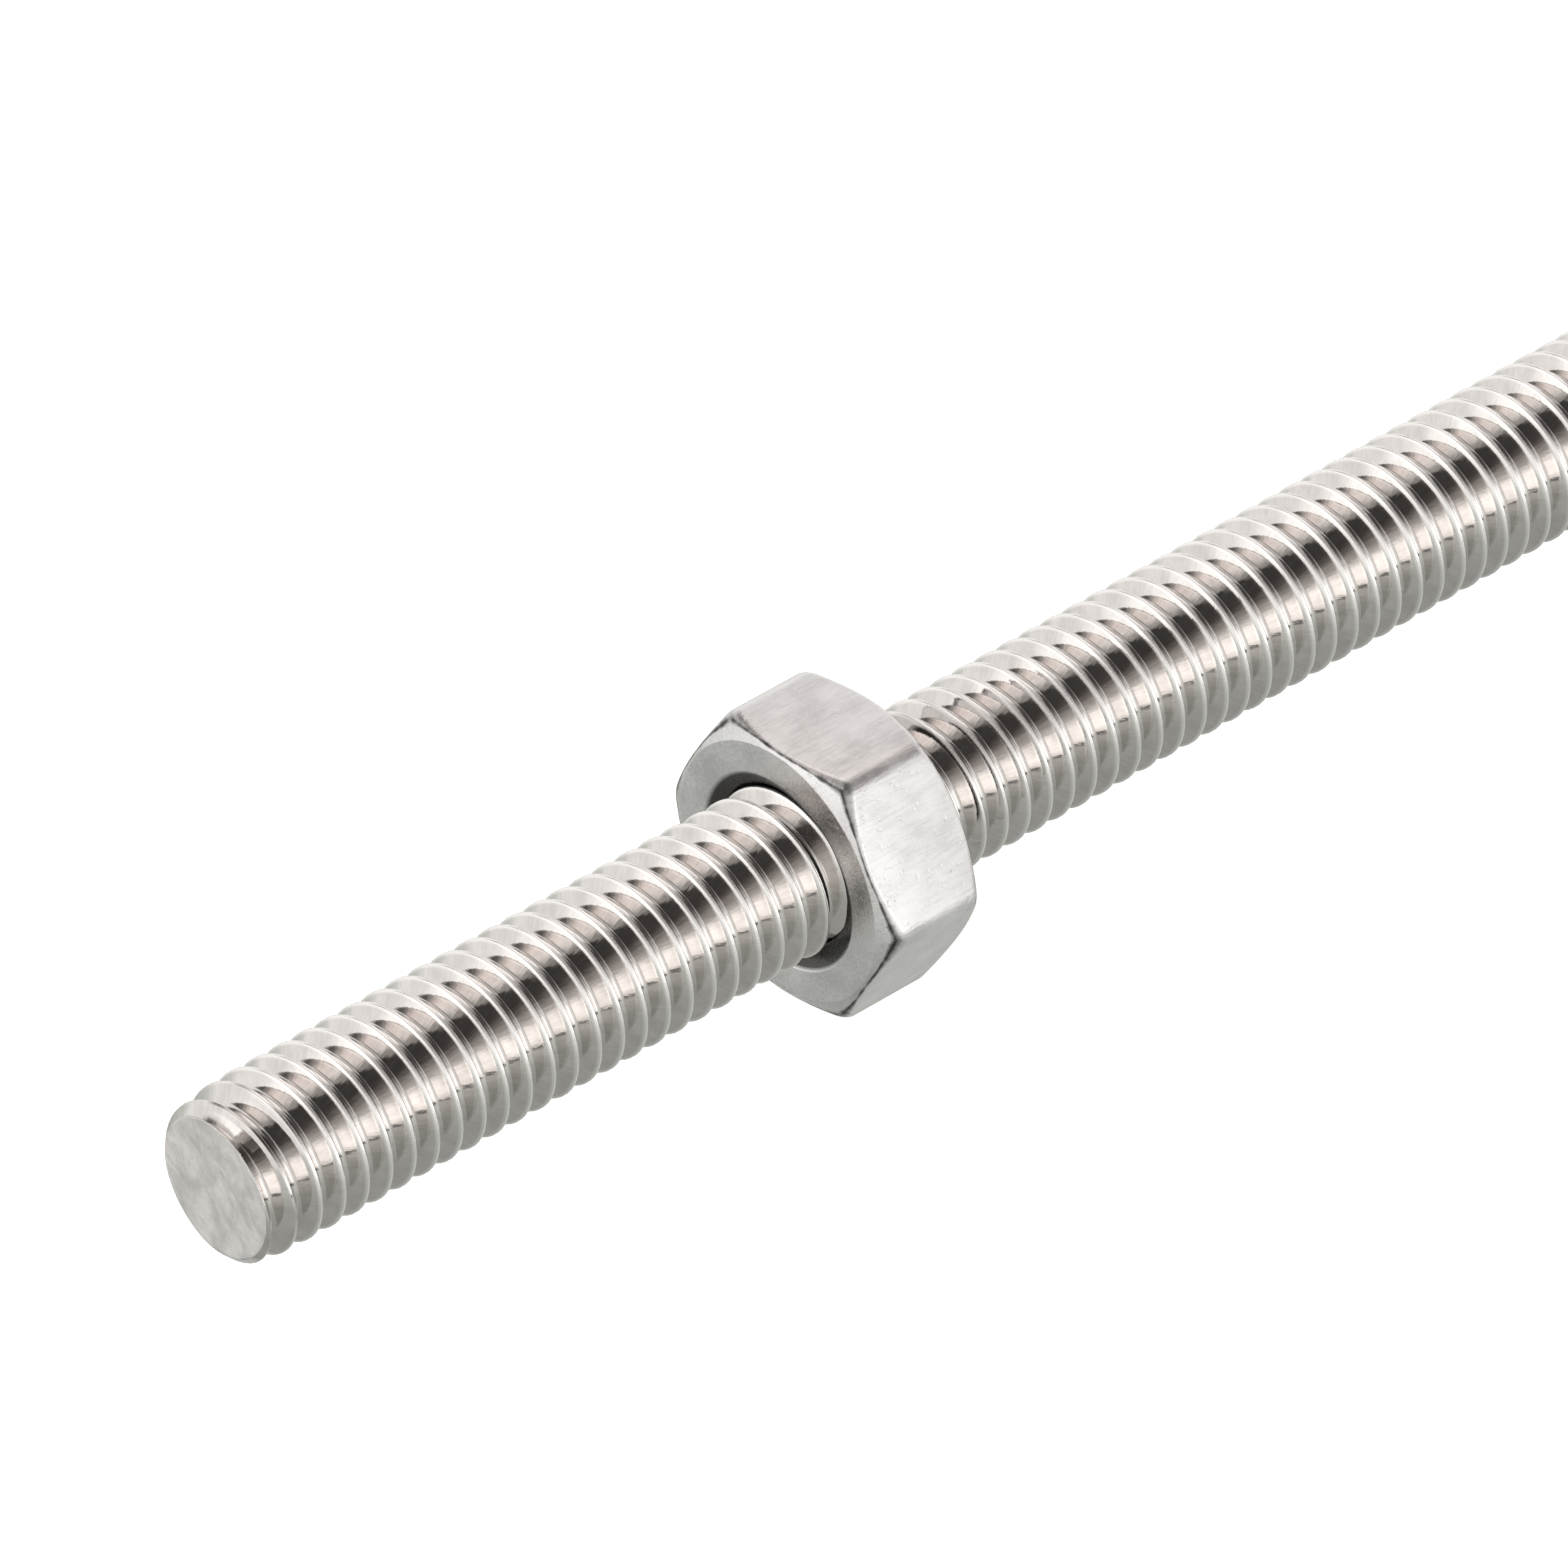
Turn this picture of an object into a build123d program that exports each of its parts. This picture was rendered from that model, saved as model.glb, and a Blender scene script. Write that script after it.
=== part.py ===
from build123d import *
import math
import os

# Frame, in mm: the rod axis is +X, the near end face is x = 0, +Z is up.
# Angles about the rod are counted from +Y towards +Z.

# Threaded rod, M6 x 1 right-hand
PITCH = 1.0
ROD_LENGTH = 100.0
ROD_CREST_R = 2.98
ROD_CREST_W = 0.09
ROD_ROOT_R = 2.39
END_FACE_R = 2.60
END_CHAMFER = 45.0
CREST_AT_ZERO = 0.516

# Hexagon nut, across the flats, along the axis and over its corners
NUT_FLATS = 9.8
NUT_HEIGHT = 4.3
NUT_NEAR = 24.45
NUT_CORNER_FILLET = 0.8
NUT_FACE_R = 4.72
NUT_CHAMFER = 30.0
NUT_MOUTH_R = 3.62
NUT_MOUTH_CONE = 120.0

# Nut thread: the rod thread with running clearance round it
TAP_CREST_R = 3.08
TAP_CREST_W = 0.142
TAP_ROOT_R = 2.58

# Ring of nut material that carries the sliding half of the screw motion
RING_INNER_R = 3.75
RING_OUTER_R = 4.25
RING_WIDTH = 1.2

FLANK = math.tan(math.radians(60.0))
ALONG_X = Plane(origin=(0, 0, 0), x_dir=(0, 1, 0), z_dir=(1, 0, 0)).location


def profile(crest_r, crest_w, root_r):
    """Axial offset and radius of the five edges of one pitch, root to root."""
    flank_w = (crest_r - root_r) / FLANK
    root_w = PITCH - crest_w - 2 * flank_w
    start = -PITCH / 2 - root_w / 2
    return [
        (start, root_r),
        (start + root_w, root_r),
        (-crest_w / 2, crest_r),
        (crest_w / 2, crest_r),
        (start + PITCH, root_r),
    ]


def helix(z, radius):
    """One right-hand turn about Z that starts on the X side at height z."""
    return Pos(0, 0, z) * Edge.make_helix(PITCH, PITCH, radius)


def strip(lower, upper):
    """Ruled surface between two neighbouring helices."""
    return Face.make_surface_from_curves(helix(*lower), helix(*upper))


def end_faces(points):
    """Helicoid down to the axis and the flat radial step that closes one end."""
    z, radius = points[0]
    axis = Edge.make_line((0, 0, z), (0, 0, z + PITCH))
    helicoid = Face.make_surface_from_curves(axis, helix(z, radius))
    outline = [(0, z)] + [(r, height) for height, r in points] + [(0, z + PITCH)]
    step = Face(Wire.make_polygon([(r, 0, height) for r, height in outline]))
    return [helicoid, step]


def thread_solid(crest_r, crest_w, root_r, first, turns):
    """Solid right-hand thread about +X whose first crest passes x = first."""
    points = [(first + z, r) for z, r in profile(crest_r, crest_w, root_r)]
    one_turn = [strip(a, b) for a, b in zip(points, points[1:])]
    faces = [Pos(0, 0, k * PITCH) * f for k in range(turns) for f in one_turn]
    faces += end_faces(points)
    faces += end_faces([(z + turns * PITCH, r) for z, r in points])
    return ALONG_X * Solid(Shell(faces))


def turned(outline):
    """Solid of revolution about +X from (x, radius) points."""
    face = Face(Wire.make_polygon([(x, r, 0) for x, r in outline]))
    return Solid.revolve(face, 360, Axis.X)


def threaded_rod():
    """Fully threaded rod, both ends chamfered."""
    first = CREST_AT_ZERO - 2 * PITCH
    stock = thread_solid(ROD_CREST_R, ROD_CREST_W, ROD_ROOT_R, first, int(ROD_LENGTH) + 4)
    outer = ROD_CREST_R + 0.2
    run = (outer - END_FACE_R) / math.tan(math.radians(END_CHAMFER))
    envelope = turned([
        (0, 0), (0, END_FACE_R), (run, outer), (ROD_LENGTH - run, outer),
        (ROD_LENGTH, END_FACE_R), (ROD_LENGTH, 0),
    ])
    return stock & envelope


def nut_blank():
    """Hexagon bar with rounded corners, corners along +Y and -Y, cut to 30 degree chamfers."""
    across = NUT_FLATS / math.sqrt(3)
    corners = [(across * math.cos(math.radians(a)), across * math.sin(math.radians(a)))
               for a in range(0, 360, 60)]
    hexagon = Face(Wire.make_polygon([(NUT_NEAR, y, z) for y, z in corners]))
    hexagon = hexagon.fillet_2d(NUT_CORNER_FILLET, hexagon.vertices())
    bar = Solid.extrude(hexagon, Vector(NUT_HEIGHT, 0, 0))
    reach = 6.5
    drop = (reach - NUT_FACE_R) * math.tan(math.radians(NUT_CHAMFER))
    far = NUT_NEAR + NUT_HEIGHT
    return bar & turned([
        (NUT_NEAR, 0), (NUT_NEAR, NUT_FACE_R), (NUT_NEAR + drop, reach),
        (far - drop, reach), (far, NUT_FACE_R), (far, 0),
    ])


def nut_mouths():
    """The two countersinks that open the bore."""
    slope = math.tan(math.radians(NUT_MOUTH_CONE / 2))
    out = 0.5
    far = NUT_NEAR + NUT_HEIGHT
    wide = NUT_MOUTH_R + out * slope
    depth = (NUT_MOUTH_R - TAP_ROOT_R + 0.2) / slope
    small = TAP_ROOT_R - 0.2
    near_cone = turned([(NUT_NEAR - out, 0), (NUT_NEAR - out, wide),
                        (NUT_NEAR + depth, small), (NUT_NEAR + depth, 0)])
    far_cone = turned([(far + out, 0), (far + out, wide),
                       (far - depth, small), (far - depth, 0)])
    return near_cone, far_cone


def carrier_ring():
    """Ring set in the middle of the nut wall."""
    start = NUT_NEAR + (NUT_HEIGHT - RING_WIDTH) / 2
    return turned([
        (start, RING_INNER_R), (start, RING_OUTER_R),
        (start + RING_WIDTH, RING_OUTER_R), (start + RING_WIDTH, RING_INNER_R),
    ])


def hex_nut():
    """Hexagon nut with its thread in step with the rod's."""
    turns = int(NUT_HEIGHT) + 4
    first = CREST_AT_ZERO + math.floor(NUT_NEAR) - 2 * PITCH
    nut = nut_blank()
    for cutter in nut_mouths():
        nut = nut - cutter
    nut = nut - thread_solid(TAP_CREST_R, TAP_CREST_W, TAP_ROOT_R, first, turns)
    return nut - carrier_ring()


os.makedirs("parts", exist_ok=True)
export_step(threaded_rod(), "parts/threaded_rod.step")
export_step(hex_nut(), "parts/hex_nut.step")
export_step(carrier_ring(), "parts/carrier_ring.step")
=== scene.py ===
import math

import bpy
import numpy as np
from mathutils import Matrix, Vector


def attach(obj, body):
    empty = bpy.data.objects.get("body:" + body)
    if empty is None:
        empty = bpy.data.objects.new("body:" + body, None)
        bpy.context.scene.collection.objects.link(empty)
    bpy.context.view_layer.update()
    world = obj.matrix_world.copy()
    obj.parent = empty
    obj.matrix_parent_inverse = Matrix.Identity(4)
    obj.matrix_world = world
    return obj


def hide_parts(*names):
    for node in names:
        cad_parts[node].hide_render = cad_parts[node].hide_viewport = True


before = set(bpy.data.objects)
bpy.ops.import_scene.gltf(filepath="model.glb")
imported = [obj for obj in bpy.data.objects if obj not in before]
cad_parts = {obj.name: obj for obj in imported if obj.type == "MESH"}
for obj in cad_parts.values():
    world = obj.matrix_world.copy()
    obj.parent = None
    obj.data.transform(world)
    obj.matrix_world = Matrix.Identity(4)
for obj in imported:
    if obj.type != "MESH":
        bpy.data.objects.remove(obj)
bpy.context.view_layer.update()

MM = 0.001
TAN_30 = math.tan(math.radians(30))
TAN_60 = math.tan(math.radians(60))

# Thread, mm: x along the axis from the rod's near end, angle from +Y towards +Z
PITCH = 1.0
CREST_AT_ZERO = 0.516
CREST_R = 2.98
CREST_HALF_W = 0.05
CREST_DIP = 0.018
CREST_DIP_HALF_W = 0.042
CREST_SOFTNESS = 0.02
CREST_SOFTNESS_REACH = 0.06
ROOT_FILLET = 0.17
# Mesh rows from a crest to the next root, in pitches, and columns round the rod
HALF_THREAD = [0, 0.022, 0.042, 0.062, 0.09, 0.14, 0.345, 0.40, 0.45]
ROD_COLUMNS = 54

# Rod ends, mm
LENGTH = 100.0
END_FACE_R = 2.60
CHAMFER_SOFTNESS = 0.05
# The first turns at the near end are lower on one side
FIRST_TURNS = 2.1
FIRST_TURN_DROP = 0.55
LOW_SIDE = math.radians(105)
LOW_SIDE_FACE_DROP = 0.05
SLANT_START_R = END_FACE_R - 0.1
SLANT = 1.2
SLANT_BLEND = 0.3
# Rings of the end caps, as shares of the rim's radius
CAP_RINGS = (0.97, 0.66, 0.33)

# Nut, mm
NUT_NEAR = 24.45
NUT_FAR = 28.75
FLATS_R = 4.9
CORNER_FILLET = 0.8
CORNER_CENTRE_R = (FLATS_R - CORNER_FILLET) / math.cos(math.pi / 6)
RING_R = 4.72
MOUTH_R = 3.62
MOUTH_LIP = 0.05
BORE_R = 2.58
GROOVE_R = 3.08
GROOVE_HALF_W = 0.071
MOUTH_ROUND = 0.04
RING_ROUND = 0.06
EDGE_ROUND = 0.20
EDGE_ROUND_GAIN = 0.4
CORNER_COLUMNS = 8
FLAT_COLUMNS = 10
BORE_ROWS = 84

# Metal, sizes in mm and colours in linear RGB
ROD_DARK, ROD_LIGHT = (0.66, 0.634, 0.612), (0.77, 0.742, 0.718)
# Crest band, mm: its colour is painted near white as a painted highlight, and its roughness is
# raised
CREST_HIGHLIGHT_FROM, CREST_HIGHLIGHT_TO = 2.86, 2.94
CREST_PAINTED_HIGHLIGHT = (0.97, 0.95, 0.93)
CUT_DARK, CUT_LIGHT = (0.80, 0.777, 0.763), (1.0, 0.975, 0.96)
NUT_DARK, NUT_LIGHT = (0.69, 0.677, 0.672), (0.88, 0.866, 0.862)
# Painted shade along the crease between each flat and its chamfer: a dark line, widest at the
# corners
CREASE_NARROW, CREASE_WIDE = 0.06, 0.34
CREASE_WIDE_AT_R = FLATS_R + 0.6
CREASE_PAINTED_SHADE = (0.07, 0.068, 0.066)
# Painted shade in the bore, taking over below the smaller radius
BORE_SHADE_FROM, BORE_SHADE_TO = 3.60, 3.48
BORE_PAINTED_SHADE = (0.10, 0.095, 0.09)

FLOOR_Z = -0.0052
FLOOR_SIZE = 4
FLOOR_GLOW = 0.7

# The room by elevation in degrees, from table to walls to upper room: brightness, and tint
ROOM = [(-60, 0.38), (-35, 0.46), (-13, 0.75), (-7, 1.00), (15, 1.00), (40, 0.75), (60, 0.50)]
TINTS = [
    (-13, (0.985, 1.0, 0.96)),
    (-7, (1.0, 0.985, 0.97)),
    (30, (1.0, 0.985, 0.975)),
    (55, (1.08, 0.99, 0.955)),
    (80, (1.0, 0.985, 0.975)),
]
# Panels in the room, in degrees: azimuth, half width, low edge, high edge, softness; brightness
PANELS = {
    "lit_back_of_table": (10, 75, -100, -40, 10, 0.55),
    "overhead_sheet": (60, 40, 52, 80, 8, 1.25),
    "gap_below_sheet": (97, 28, 26, 44, 8, 0.15),
    "dark_camera_side": (265, 76, 40, 100, 18, 0.07),
    "left_softbox": (160, 18, 8, 36, 5, 1.40),
    "front_softbox": (282, 14, -5, 24, 8, 1.90),
    "table_edge": (305, 35, -12, -8, 1, 0.25),
}
PANEL_SIDE_SOFTNESS = 10
# Ramp colours are kept below 1: brightness is divided by this and the world multiplies it back
ROOM_STRENGTH = 2.2

CAMERA_PLACE = (-0.271775, -0.323902, 0.337044)
CAMERA_AIM = (0.537692, 0.587349, -0.604904)
CAMERA_LENS = 387.94
CAMERA_SENSOR = 36


def link(mesh_name, verts, faces):
    """A smooth mesh object in metres from mm vertices."""
    mesh = bpy.data.meshes.new(mesh_name)
    mesh.from_pydata((np.asarray(verts) * MM).tolist(), [], faces)
    mesh.validate()
    mesh.update()
    mesh.shade_smooth()
    obj = bpy.data.objects.new(mesh_name, mesh)
    bpy.context.scene.collection.objects.link(obj)
    return obj


def from_crest(x, angle):
    """Axial distance to the nearest thread crest."""
    offset = x - CREST_AT_ZERO - PITCH * angle / (2 * math.pi)
    return np.abs((offset + PITCH / 2) % PITCH - PITCH / 2)


def thread_radius(a):
    """Rod surface radius at an axial distance from a crest."""
    flank = CREST_R - TAN_60 * (a - CREST_HALF_W)
    softened = np.exp(-np.maximum(a - CREST_HALF_W, 0) / CREST_SOFTNESS_REACH)
    flank = flank - CREST_SOFTNESS * softened
    apex = CREST_R - TAN_60 * (PITCH / 2 - CREST_HALF_W)
    centre = apex + 2 * ROOT_FILLET
    inside = np.maximum(ROOT_FILLET ** 2 - (PITCH / 2 - a) ** 2, 0)
    root = centre - np.sqrt(inside)
    tangent = PITCH / 2 - ROOT_FILLET * math.cos(math.radians(30))
    dip = np.cos(np.clip(a / CREST_DIP_HALF_W, 0, 1) * math.pi / 2) ** 2
    return np.minimum(np.where(a > tangent, root, flank), CREST_R - CREST_DIP * dip)


def soft_maximum(a, b, width):
    """The larger of a and b, blended where they are closer than the width."""
    share = np.clip(0.5 + 0.5 * (b - a) / width, 0, 1)
    return a + (b - a) * share + width * share * (1 - share)


def rod_radius(x, angle):
    """Thread cut back by the end chamfers, with the first turns lowered on one side."""
    r = thread_radius(from_crest(x, angle))
    low_side = (0.5 + 0.5 * np.cos(angle - LOW_SIDE)) ** 1.5
    lowered = r - FIRST_TURN_DROP * low_side * np.clip(1 - x / FIRST_TURNS, 0, 1) ** 1.3
    r = np.minimum(r, soft_maximum(lowered, SLANT_START_R - SLANT * x, SLANT_BLEND))
    for cone in (END_FACE_R - LOW_SIDE_FACE_DROP * low_side + x, END_FACE_R + LENGTH - x):
        gap = np.maximum(CHAMFER_SOFTNESS - np.abs(r - cone), 0) / CHAMFER_SOFTNESS
        r = np.minimum(r, cone) - gap * gap * CHAMFER_SOFTNESS / 4
    return r


def rod_mesh():
    """Helical thread grid clipped at both ends, closed by caps that take the second material."""
    steps = np.array(HALF_THREAD + [0.5] + [1 - h for h in HALF_THREAD[:0:-1]])
    n, m = ROD_COLUMNS, len(steps)
    turns = int(LENGTH / PITCH) + 3
    i = np.arange(n * turns + 1)
    x = CREST_AT_ZERO - 2 * PITCH + PITCH * i[:, None] / n + PITCH * steps[None, :]
    angle = np.broadcast_to(2 * math.pi * (i[:, None] % n) / n, x.shape)
    x = np.clip(x, 0, LENGTH)
    r = rod_radius(x, angle)
    grid = np.stack([x, r * np.cos(angle), r * np.sin(angle)], -1).reshape(-1, 3)
    a, b = np.meshgrid(np.arange(n * (turns - 1)), np.arange(m), indexing="ij")
    right = np.where(b + 1 < m, a * m + b + 1, (a + n) * m)
    far = np.where(b + 1 < m, (a + 1) * m + b + 1, (a + 1 + n) * m)
    quads = np.stack([a * m + b, (a + 1) * m + b, far, right], -1).reshape(-1, 4)
    points, index = np.unique(np.round(grid, 6), axis=0, return_inverse=True)
    faces = []
    for quad in index.reshape(-1)[quads].tolist():
        face = [v for k, v in enumerate(quad) if v != quad[k - 1]]
        if len(set(face)) == len(face) >= 3 and np.ptp(points[face, 0]) > 1e-7:
            faces.append(face)
    used = {v for face in faces for v in face}
    verts = points.tolist()
    for end, turned in ((0.0, False), (LENGTH, True)):
        at_end = np.nonzero(np.abs(points[:, 0] - end) < 1e-9)[0].tolist()
        rim = [v for v in at_end if v in used]
        rim.sort(key=lambda v: math.atan2(points[v, 2], points[v, 1]))
        outer = rim
        for share in CAP_RINGS:
            ring = list(range(len(verts), len(verts) + len(rim)))
            verts += [[end, points[v, 1] * share, points[v, 2] * share] for v in rim]
            for k in range(len(rim)):
                quad = [outer[k], outer[k - 1], ring[k - 1], ring[k]]
                faces.append(quad[::-1] if turned else quad)
            outer = ring
        faces.append(outer if turned else outer[::-1])
    rod = link("rod_steel", verts, faces)
    for polygon in rod.data.polygons:
        x = polygon.center.x / MM
        polygon.material_index = int(min(x, LENGTH - x) < 1e-4)
    return rod


def nut_outline(angle):
    """Distance from the axis to the hexagon with rounded corners."""
    from_corner = np.abs((angle + math.pi / 6) % (math.pi / 3) - math.pi / 6)
    beside = CORNER_CENTRE_R * np.sin(from_corner)
    depth = np.sqrt(np.maximum(CORNER_FILLET ** 2 - beside ** 2, 0))
    arc = CORNER_CENTRE_R * np.cos(from_corner) + depth
    flat = FLATS_R / np.cos(math.pi / 6 - from_corner)
    arc_end = math.pi / 6 - math.atan(CORNER_CENTRE_R * 0.5 / FLATS_R)
    return np.where(from_corner < arc_end, arc, flat)


def nut_angles():
    """Angles of the nut's mesh columns, along each corner round and each flat."""
    angles = []
    reach = CORNER_CENTRE_R * 0.5
    for corner in range(6):
        base = corner * math.pi / 3
        for k in range(CORNER_COLUMNS + 1):
            turn = math.radians(-30 + 60 * k / CORNER_COLUMNS)
            out = CORNER_CENTRE_R + CORNER_FILLET * math.cos(turn)
            angles.append(base + math.atan2(CORNER_FILLET * math.sin(turn), out))
        for k in range(1, FLAT_COLUMNS):
            along = -reach + 2 * reach * k / FLAT_COLUMNS
            angles.append(base + math.pi / 6 + math.atan2(along, FLATS_R))
    return np.array(sorted(a % (2 * math.pi) for a in angles))


def rounded(points, radii, steps=5):
    """Polyline with each inner corner replaced by an arc."""
    out = [points[0]]
    for k in range(1, len(points) - 1):
        p, a, b = (np.array(points[j], float) for j in (k, k - 1, k + 1))
        u, v = (a - p) / np.linalg.norm(a - p), (b - p) / np.linalg.norm(b - p)
        half = math.acos(float(np.clip(u @ v, -1, 1))) / 2
        radius = radii[k - 1]
        cut = radius / math.tan(half)
        centre = p + (u + v) / np.linalg.norm(u + v) * radius / math.sin(half)
        first, last = p + u * cut - centre, p + v * cut - centre
        for s in range(steps + 1):
            w = first * (1 - s / steps) + last * s / steps
            out.append(tuple(centre + w / np.linalg.norm(w) * radius))
    return out + [points[-1]]


def nut_bore(x, angle):
    """Threaded bore opened by a countersink at each face."""
    groove = GROOVE_R - TAN_60 * (from_crest(x, angle) - GROOVE_HALF_W)
    thread = np.clip(groove, BORE_R, GROOVE_R)
    near = MOUTH_R - (x - NUT_NEAR) * TAN_60
    far = MOUTH_R - (NUT_FAR - x) * TAN_60
    return np.maximum(thread, np.maximum(near, far))


def nut_mesh():
    """Closed profile of x and radius for each column: worn outside, then the bore."""
    near_lip, far_lip = NUT_NEAR + MOUTH_LIP, NUT_FAR - MOUTH_LIP
    lip_r = MOUTH_R - MOUTH_LIP * TAN_60
    bore_x = np.linspace(far_lip, near_lip, BORE_ROWS)[1:-1]
    columns = []
    for angle in nut_angles():
        reach = float(nut_outline(angle))
        drop = (reach - RING_R) * TAN_30
        edge = EDGE_ROUND + EDGE_ROUND_GAIN * (reach - FLATS_R)
        outside = [
            (near_lip, lip_r), (NUT_NEAR, MOUTH_R), (NUT_NEAR, RING_R),
            (NUT_NEAR + drop, reach), (NUT_FAR - drop, reach),
            (NUT_FAR, RING_R), (NUT_FAR, MOUTH_R), (far_lip, lip_r),
        ]
        radii = [MOUTH_ROUND, RING_ROUND, edge, edge, RING_ROUND, MOUTH_ROUND]
        bore = [(x, float(nut_bore(x, angle))) for x in bore_x]
        profile = rounded(outside, radii) + bore
        columns.append([(x, r * math.cos(angle), r * math.sin(angle)) for x, r in profile])
    count, rows = len(columns), len(columns[0])
    verts = [v for column in columns for v in column]
    faces = []
    for c in range(count):
        d = (c + 1) % count
        for k in range(rows):
            j = (k + 1) % rows
            faces.append([c * rows + k, d * rows + k, d * rows + j, c * rows + j])
    return link("nut_steel", verts, faces)


class Nodes:
    """Short calls that add nodes to a tree and return their output."""

    def __init__(self, tree):
        self.nodes, self.links = tree.nodes, tree.links

    def fill(self, sockets, values):
        """Sets each socket to its value, or links it when the value is an output."""
        for socket, value in zip(sockets, values):
            if isinstance(value, bpy.types.NodeSocket):
                self.links.new(value, socket)
            else:
                socket.default_value = value

    def math(self, operation, *values):
        node = self.nodes.new("ShaderNodeMath")
        node.operation = operation
        self.fill(node.inputs, values)
        return node.outputs[0]

    def vector(self, operation, *values):
        node = self.nodes.new("ShaderNodeVectorMath")
        node.operation = operation
        self.fill(node.inputs, values)
        return node.outputs["Value" if operation == "LENGTH" else "Vector"]

    def add(self, first, second, share):
        """first + share * second"""
        return self.math("MULTIPLY_ADD", second, share, first)

    def split(self, vector):
        node = self.nodes.new("ShaderNodeSeparateXYZ")
        self.links.new(vector, node.inputs["Vector"])
        return node.outputs

    def join(self, *values):
        node = self.nodes.new("ShaderNodeCombineXYZ")
        self.fill(node.inputs, values)
        return node.outputs["Vector"]

    def spread(self, source, low, high, a=0.0, b=1.0, curve="LINEAR"):
        """Maps low..high to a..b and holds the ends."""
        node = self.nodes.new("ShaderNodeMapRange")
        node.interpolation_type = curve
        self.fill(node.inputs[:5], (source, low, high, a, b))
        return node.outputs["Result"]


class Metal(Nodes):
    """A metal material's tree, in the object's own coordinates."""

    def __init__(self, name):
        self.material = bpy.data.materials.new(name)
        self.material.use_nodes = True
        super().__init__(self.material.node_tree)
        self.point = self.nodes.new("ShaderNodeTexCoord").outputs["Object"]
        self.spoke = self.vector("MULTIPLY", self.point, (0.0, 1.0, 1.0))
        self.radius = self.vector("LENGTH", self.spoke)

    def noise(self, place, scale, detail=3.0, roughness=0.5, distortion=0.0):
        node = self.nodes.new("ShaderNodeTexNoise")
        node.inputs["Scale"].default_value = scale
        node.inputs["Detail"].default_value = detail
        node.inputs["Roughness"].default_value = roughness
        node.inputs["Distortion"].default_value = distortion
        self.links.new(place, node.inputs["Vector"])
        return node.outputs["Fac"]

    def mix(self, share, low, high):
        """Colour from low to high, each an RGB tuple or an output."""
        node = self.nodes.new("ShaderNodeMix")
        node.data_type = "RGBA"
        low, high = ((*c, 1) if isinstance(c, tuple) else c for c in (low, high))
        self.fill((node.inputs[0], node.inputs[6], node.inputs[7]), (share, low, high))
        return node.outputs[2]

    def finish(self, colour, roughness, height, depth, strength):
        """Links the shader and returns the material."""
        bump = self.nodes.new("ShaderNodeBump")
        bump.inputs["Strength"].default_value = strength
        bump.inputs["Distance"].default_value = depth
        self.links.new(height, bump.inputs["Height"])
        inputs = self.nodes["Principled BSDF"].inputs
        inputs["Metallic"].default_value = 1.0
        self.links.new(colour, inputs["Base Color"])
        self.links.new(roughness, inputs["Roughness"])
        self.links.new(bump.outputs["Normal"], inputs["Normal"])
        return self.material


def rod_bright():
    """Rolled thread: bright steel, ripples across the flanks, and rougher crests painted near
    white as a highlight.
    """
    s = Metal("rod_bright")
    rim = s.vector("MULTIPLY", s.vector("NORMALIZE", s.spoke), (0.003, 0.003, 0.003))
    along = s.vector("MULTIPLY", s.point, (0.25, 0.25, 0.25))
    across_turns = s.vector("ADD", rim, along)
    ripple = s.noise(across_turns, 6000)
    waves = s.noise(across_turns, 1700, 2)
    still_rim = s.vector("MULTIPLY", rim, (0.06, 0.06, 0.06))
    rolled = s.noise(s.vector("ADD", still_rim, s.spoke), 9000, 2)
    cloud = s.noise(s.point, 1500, 5)
    colour = s.mix(s.spread(s.add(cloud, ripple, 0.6), 0.60, 1.0), ROD_DARK, ROD_LIGHT)
    # Painted highlight: the crests' colour is lifted towards near white
    crest = s.spread(s.radius, CREST_HIGHLIGHT_FROM * MM, CREST_HIGHLIGHT_TO * MM)
    colour = s.mix(crest, colour, CREST_PAINTED_HIGHLIGHT)
    roughness = s.add(s.spread(ripple, 0.3, 0.75, 0.03, 0.09), crest, 0.22)
    height = s.add(s.add(ripple, rolled, 0.4), waves, 1.2)
    return s.finish(colour, roughness, height, 0.000004, 0.6)


def rod_cut():
    """Sawn and ground end: soft slanting strokes and worn patches."""
    s = Metal("rod_cut")
    x, y, z = s.split(s.point)
    across = s.add(y, z, -0.8)
    along = s.math("MULTIPLY", s.add(z, y, 0.8), 0.5)
    strokes = s.noise(s.join(x, across, along), 1500, 6, 0.65, 0.8)
    patches = s.noise(s.point, 900, 5, 0.6)
    wear = s.add(strokes, patches, 1.1)
    colour = s.mix(s.spread(wear, 0.84, 1.26), CUT_DARK, CUT_LIGHT)
    roughness = s.spread(strokes, 0.35, 0.65, 0.48, 0.62)
    return s.finish(colour, roughness, wear, 0.00007, 0.6)


def nut_crease(s):
    """Distance from the crease between each flat and the chamfer, in crease widths."""
    x, y, z = s.split(s.point)
    height = s.math("ABSOLUTE", z)
    for side in (1, -1):
        slant = s.add(s.math("MULTIPLY", z, 0.5), y, side * math.cos(math.pi / 6))
        height = s.math("MAXIMUM", height, s.math("ABSOLUTE", slant))
    below_flat = s.math("SUBTRACT", FLATS_R * MM, height)
    beyond_ring = s.math("SUBTRACT", s.radius, RING_R * MM)
    from_near = s.math("SUBTRACT", x, NUT_NEAR * MM)
    from_far = s.math("SUBTRACT", NUT_FAR * MM, x)
    below_cone = s.add(s.math("MINIMUM", from_near, from_far), beyond_ring, -TAN_30)
    across = s.math("SUBTRACT", below_flat, below_cone)
    at_flat, at_corner = FLATS_R * MM, CREASE_WIDE_AT_R * MM
    width = s.spread(s.radius, at_flat, at_corner, CREASE_NARROW * MM, CREASE_WIDE * MM)
    return s.math("DIVIDE", s.math("ABSOLUTE", s.math("SUBTRACT", across, width)), width)


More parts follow.
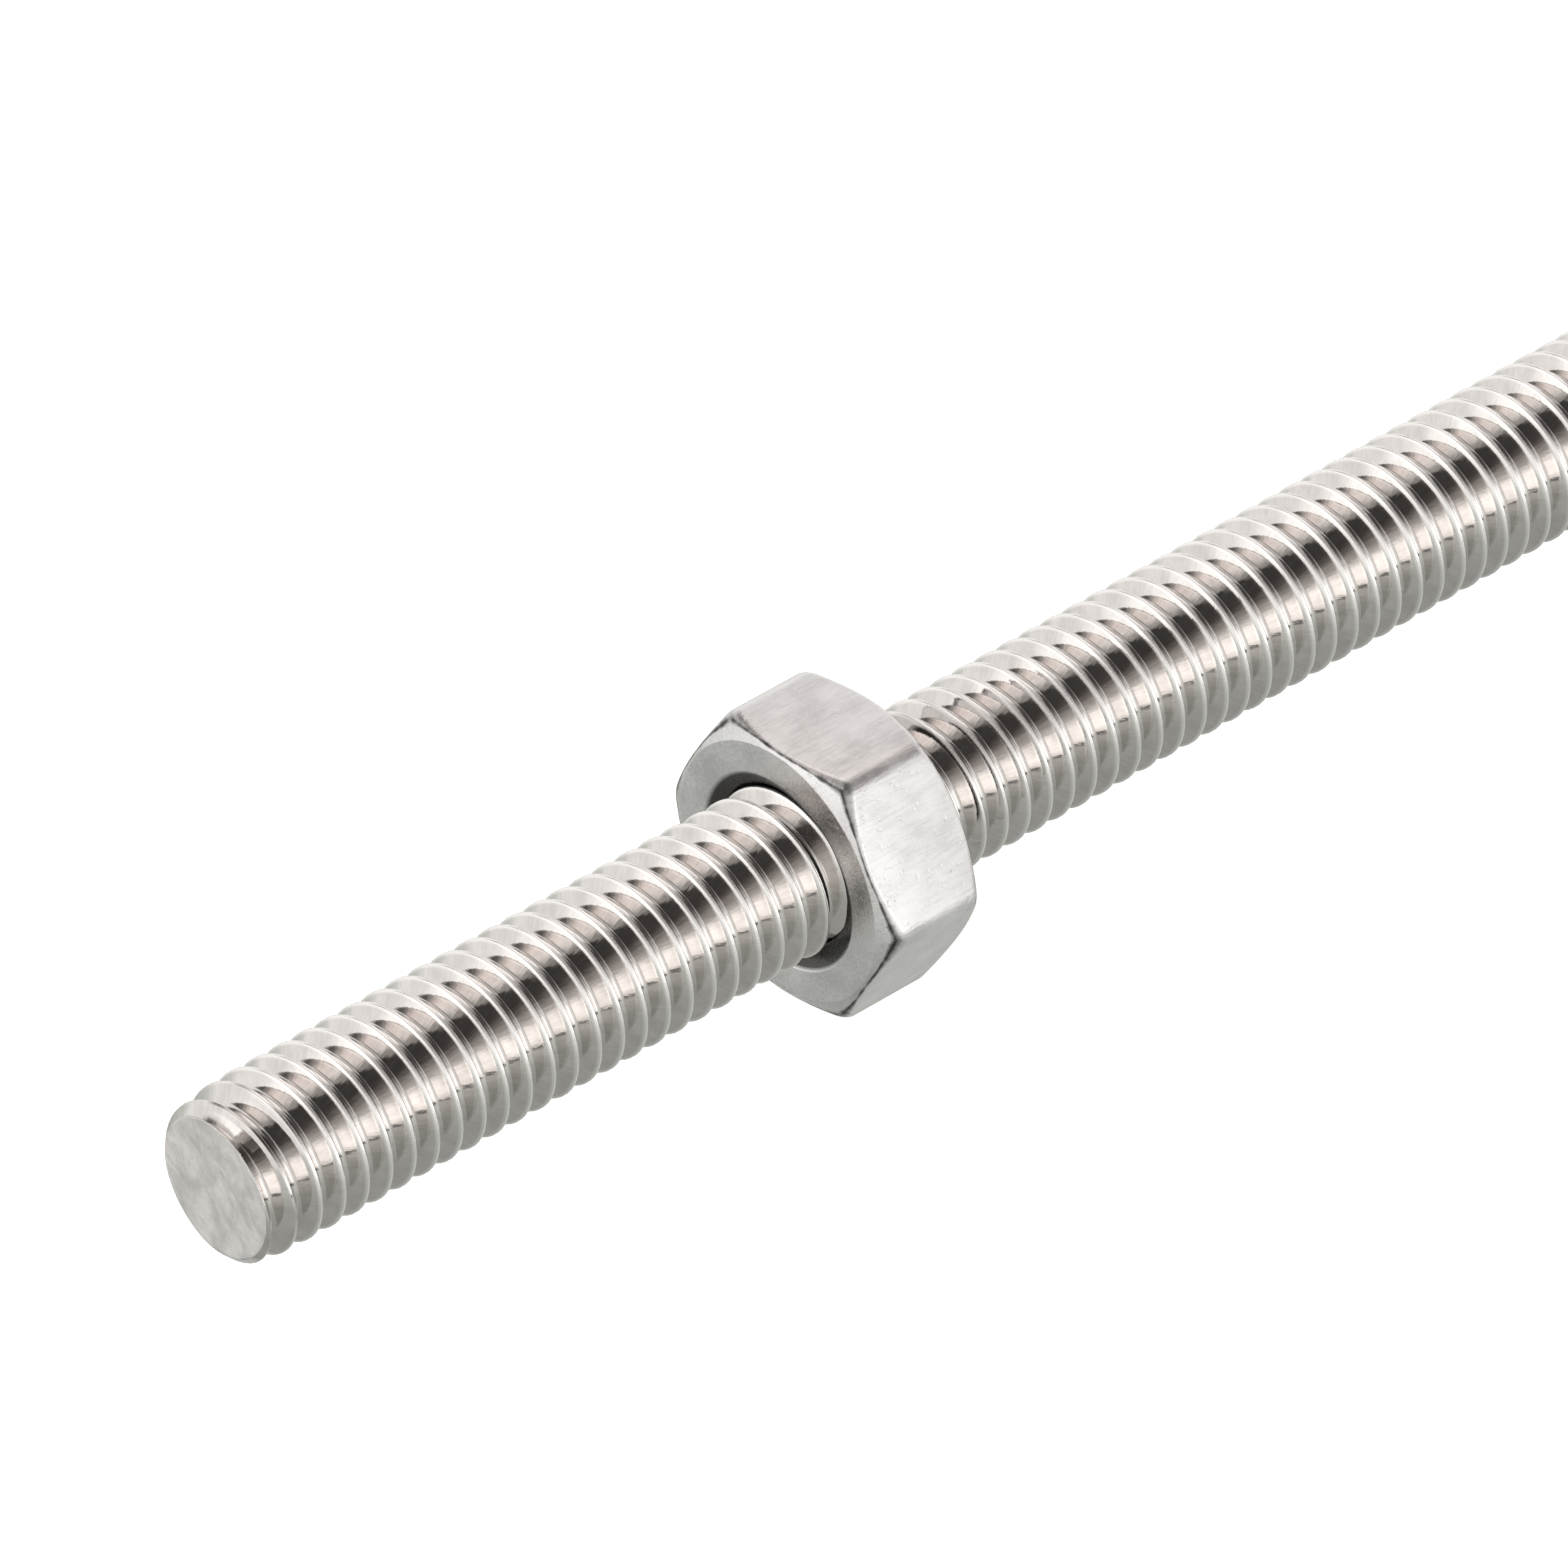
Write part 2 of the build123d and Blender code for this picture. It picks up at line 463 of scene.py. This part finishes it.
def nut_satin():
    """Satin nut: drawn flats with small dents, painted shade in broken lines along the creases,
    painted shade in the bore.
    """
    s = Metal("nut_satin")
    drawn = s.noise(s.vector("MULTIPLY", s.point, (0.14, 1.0, 1.0)), 7000, 4, 0.65)
    dents = s.noise(s.point, 3600, 3, 0.6, 0.3)
    patches = s.noise(s.point, 800)
    colour = s.mix(s.spread(s.add(patches, drawn, 0.8), 0.66, 1.12), NUT_DARK, NUT_LIGHT)
    # Painted shade: a dark, broken line along each flat's crease
    off_crease = s.add(nut_crease(s), s.noise(s.point, 2500), 1.6)
    colour = s.mix(s.spread(off_crease, 0.85, 1.90), CREASE_PAINTED_SHADE, colour)
    # Painted shade in the bore
    in_bore = s.spread(s.radius, BORE_SHADE_FROM * MM, BORE_SHADE_TO * MM)
    colour = s.mix(in_bore, colour, BORE_PAINTED_SHADE)
    roughness = s.spread(s.add(drawn, patches, 0.8), 0.65, 1.15, 0.20, 0.38)
    height = s.add(drawn, s.spread(dents, 0.28, 0.40), 0.6)
    return s.finish(colour, roughness, height, 0.000018, 0.7)


def pale_floor():
    """Pale, slightly glowing floor that reflections leave to the world's table."""
    bpy.ops.mesh.primitive_plane_add(size=FLOOR_SIZE, location=(0, 0, FLOOR_Z))
    floor = bpy.context.object
    floor.name = "floor"
    material = bpy.data.materials.new("floor_pale")
    material.use_nodes = True
    inputs = material.node_tree.nodes["Principled BSDF"].inputs
    inputs["Base Color"].default_value = (0.9, 0.9, 0.9, 1)
    inputs["Roughness"].default_value = 0.9
    inputs["Emission Color"].default_value = (1, 1, 1, 1)
    inputs["Emission Strength"].default_value = FLOOR_GLOW
    floor.data.materials.append(material)
    floor.visible_glossy = False


def elevation_ramp(n, elevation, stops):
    """Colour by elevation in degrees."""
    node = n.nodes.new("ShaderNodeValToRGB")
    elements = node.color_ramp.elements
    while len(elements) < len(stops):
        elements.new(0.5)
    for element, (degrees, colour) in zip(elements, stops):
        element.position = degrees / 180 + 0.5
        element.color = (*colour, 1)
    n.links.new(n.math("MULTIPLY_ADD", elevation, 1 / 180, 0.5), node.inputs["Fac"])
    return node.outputs["Color"]


def studio_world():
    """A pale room with a few soft panels, as a node world."""
    world = bpy.data.worlds.new("studio")
    bpy.context.scene.world = world
    world.use_nodes = True
    n = Nodes(world.node_tree)
    x, y, z = n.split(n.nodes.new("ShaderNodeTexCoord").outputs["Generated"])
    elevation = n.math("MULTIPLY", n.math("ARCSINE", z), 180 / math.pi)
    level = n.math("SQRT", n.math("MULTIPLY_ADD", x, x, n.math("MULTIPLY", y, y)))
    greys = [(degrees, (value / ROOM_STRENGTH,) * 3) for degrees, value in ROOM]
    light = elevation_ramp(n, elevation, greys)
    for azimuth, half_width, low, high, soft, value in PANELS.values():
        a = math.radians(azimuth)
        along = n.math("MULTIPLY_ADD", x, math.cos(a), n.math("MULTIPLY", y, math.sin(a)))
        turned = n.math("ARCCOSINE", n.math("DIVIDE", along, level))
        off_axis = n.math("MULTIPLY", turned, 180 / math.pi)
        sides = (half_width - PANEL_SIDE_SOFTNESS, half_width + PANEL_SIDE_SOFTNESS)
        beside = n.spread(off_axis, *sides, curve="SMOOTHSTEP")
        above_low = n.spread(elevation, low - soft, low + soft, curve="SMOOTHSTEP")
        above_high = n.spread(elevation, high - soft, high + soft, curve="SMOOTHSTEP")
        between = n.math("SUBTRACT", above_low, above_high)
        share = n.math("MULTIPLY", n.math("SUBTRACT", 1.0, beside), between)
        light = n.add(light, n.math("SUBTRACT", value / ROOM_STRENGTH, light), share)
    tinted = n.nodes.new("ShaderNodeVectorMath")
    tinted.operation = "SCALE"
    n.links.new(elevation_ramp(n, elevation, TINTS), tinted.inputs["Vector"])
    n.links.new(light, tinted.inputs["Scale"])
    background = n.nodes["Background"]
    background.inputs["Strength"].default_value = ROOM_STRENGTH
    n.links.new(tinted.outputs["Vector"], background.inputs["Color"])


def add_camera():
    """Camera at the photograph's viewing angle."""
    data = bpy.data.cameras.new("camera")
    data.sensor_width = CAMERA_SENSOR
    data.lens = CAMERA_LENS
    data.clip_start, data.clip_end = 0.01, 10
    camera = bpy.data.objects.new("camera", data)
    bpy.context.scene.collection.objects.link(camera)
    camera.location = CAMERA_PLACE
    camera.rotation_mode = "QUATERNION"
    camera.rotation_quaternion = Vector(CAMERA_AIM).to_track_quat("-Z", "Y")
    bpy.context.scene.camera = camera


rod = rod_mesh()
rod.data.materials.append(rod_bright())
rod.data.materials.append(rod_cut())
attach(rod, "rod")
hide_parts("threaded_rod")

nut = nut_mesh()
nut.data.materials.append(nut_satin())
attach(nut, "nut")
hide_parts("hex_nut", "carrier_ring")

pale_floor()
studio_world()
bpy.context.scene.view_settings.view_transform = "Standard"
add_camera()
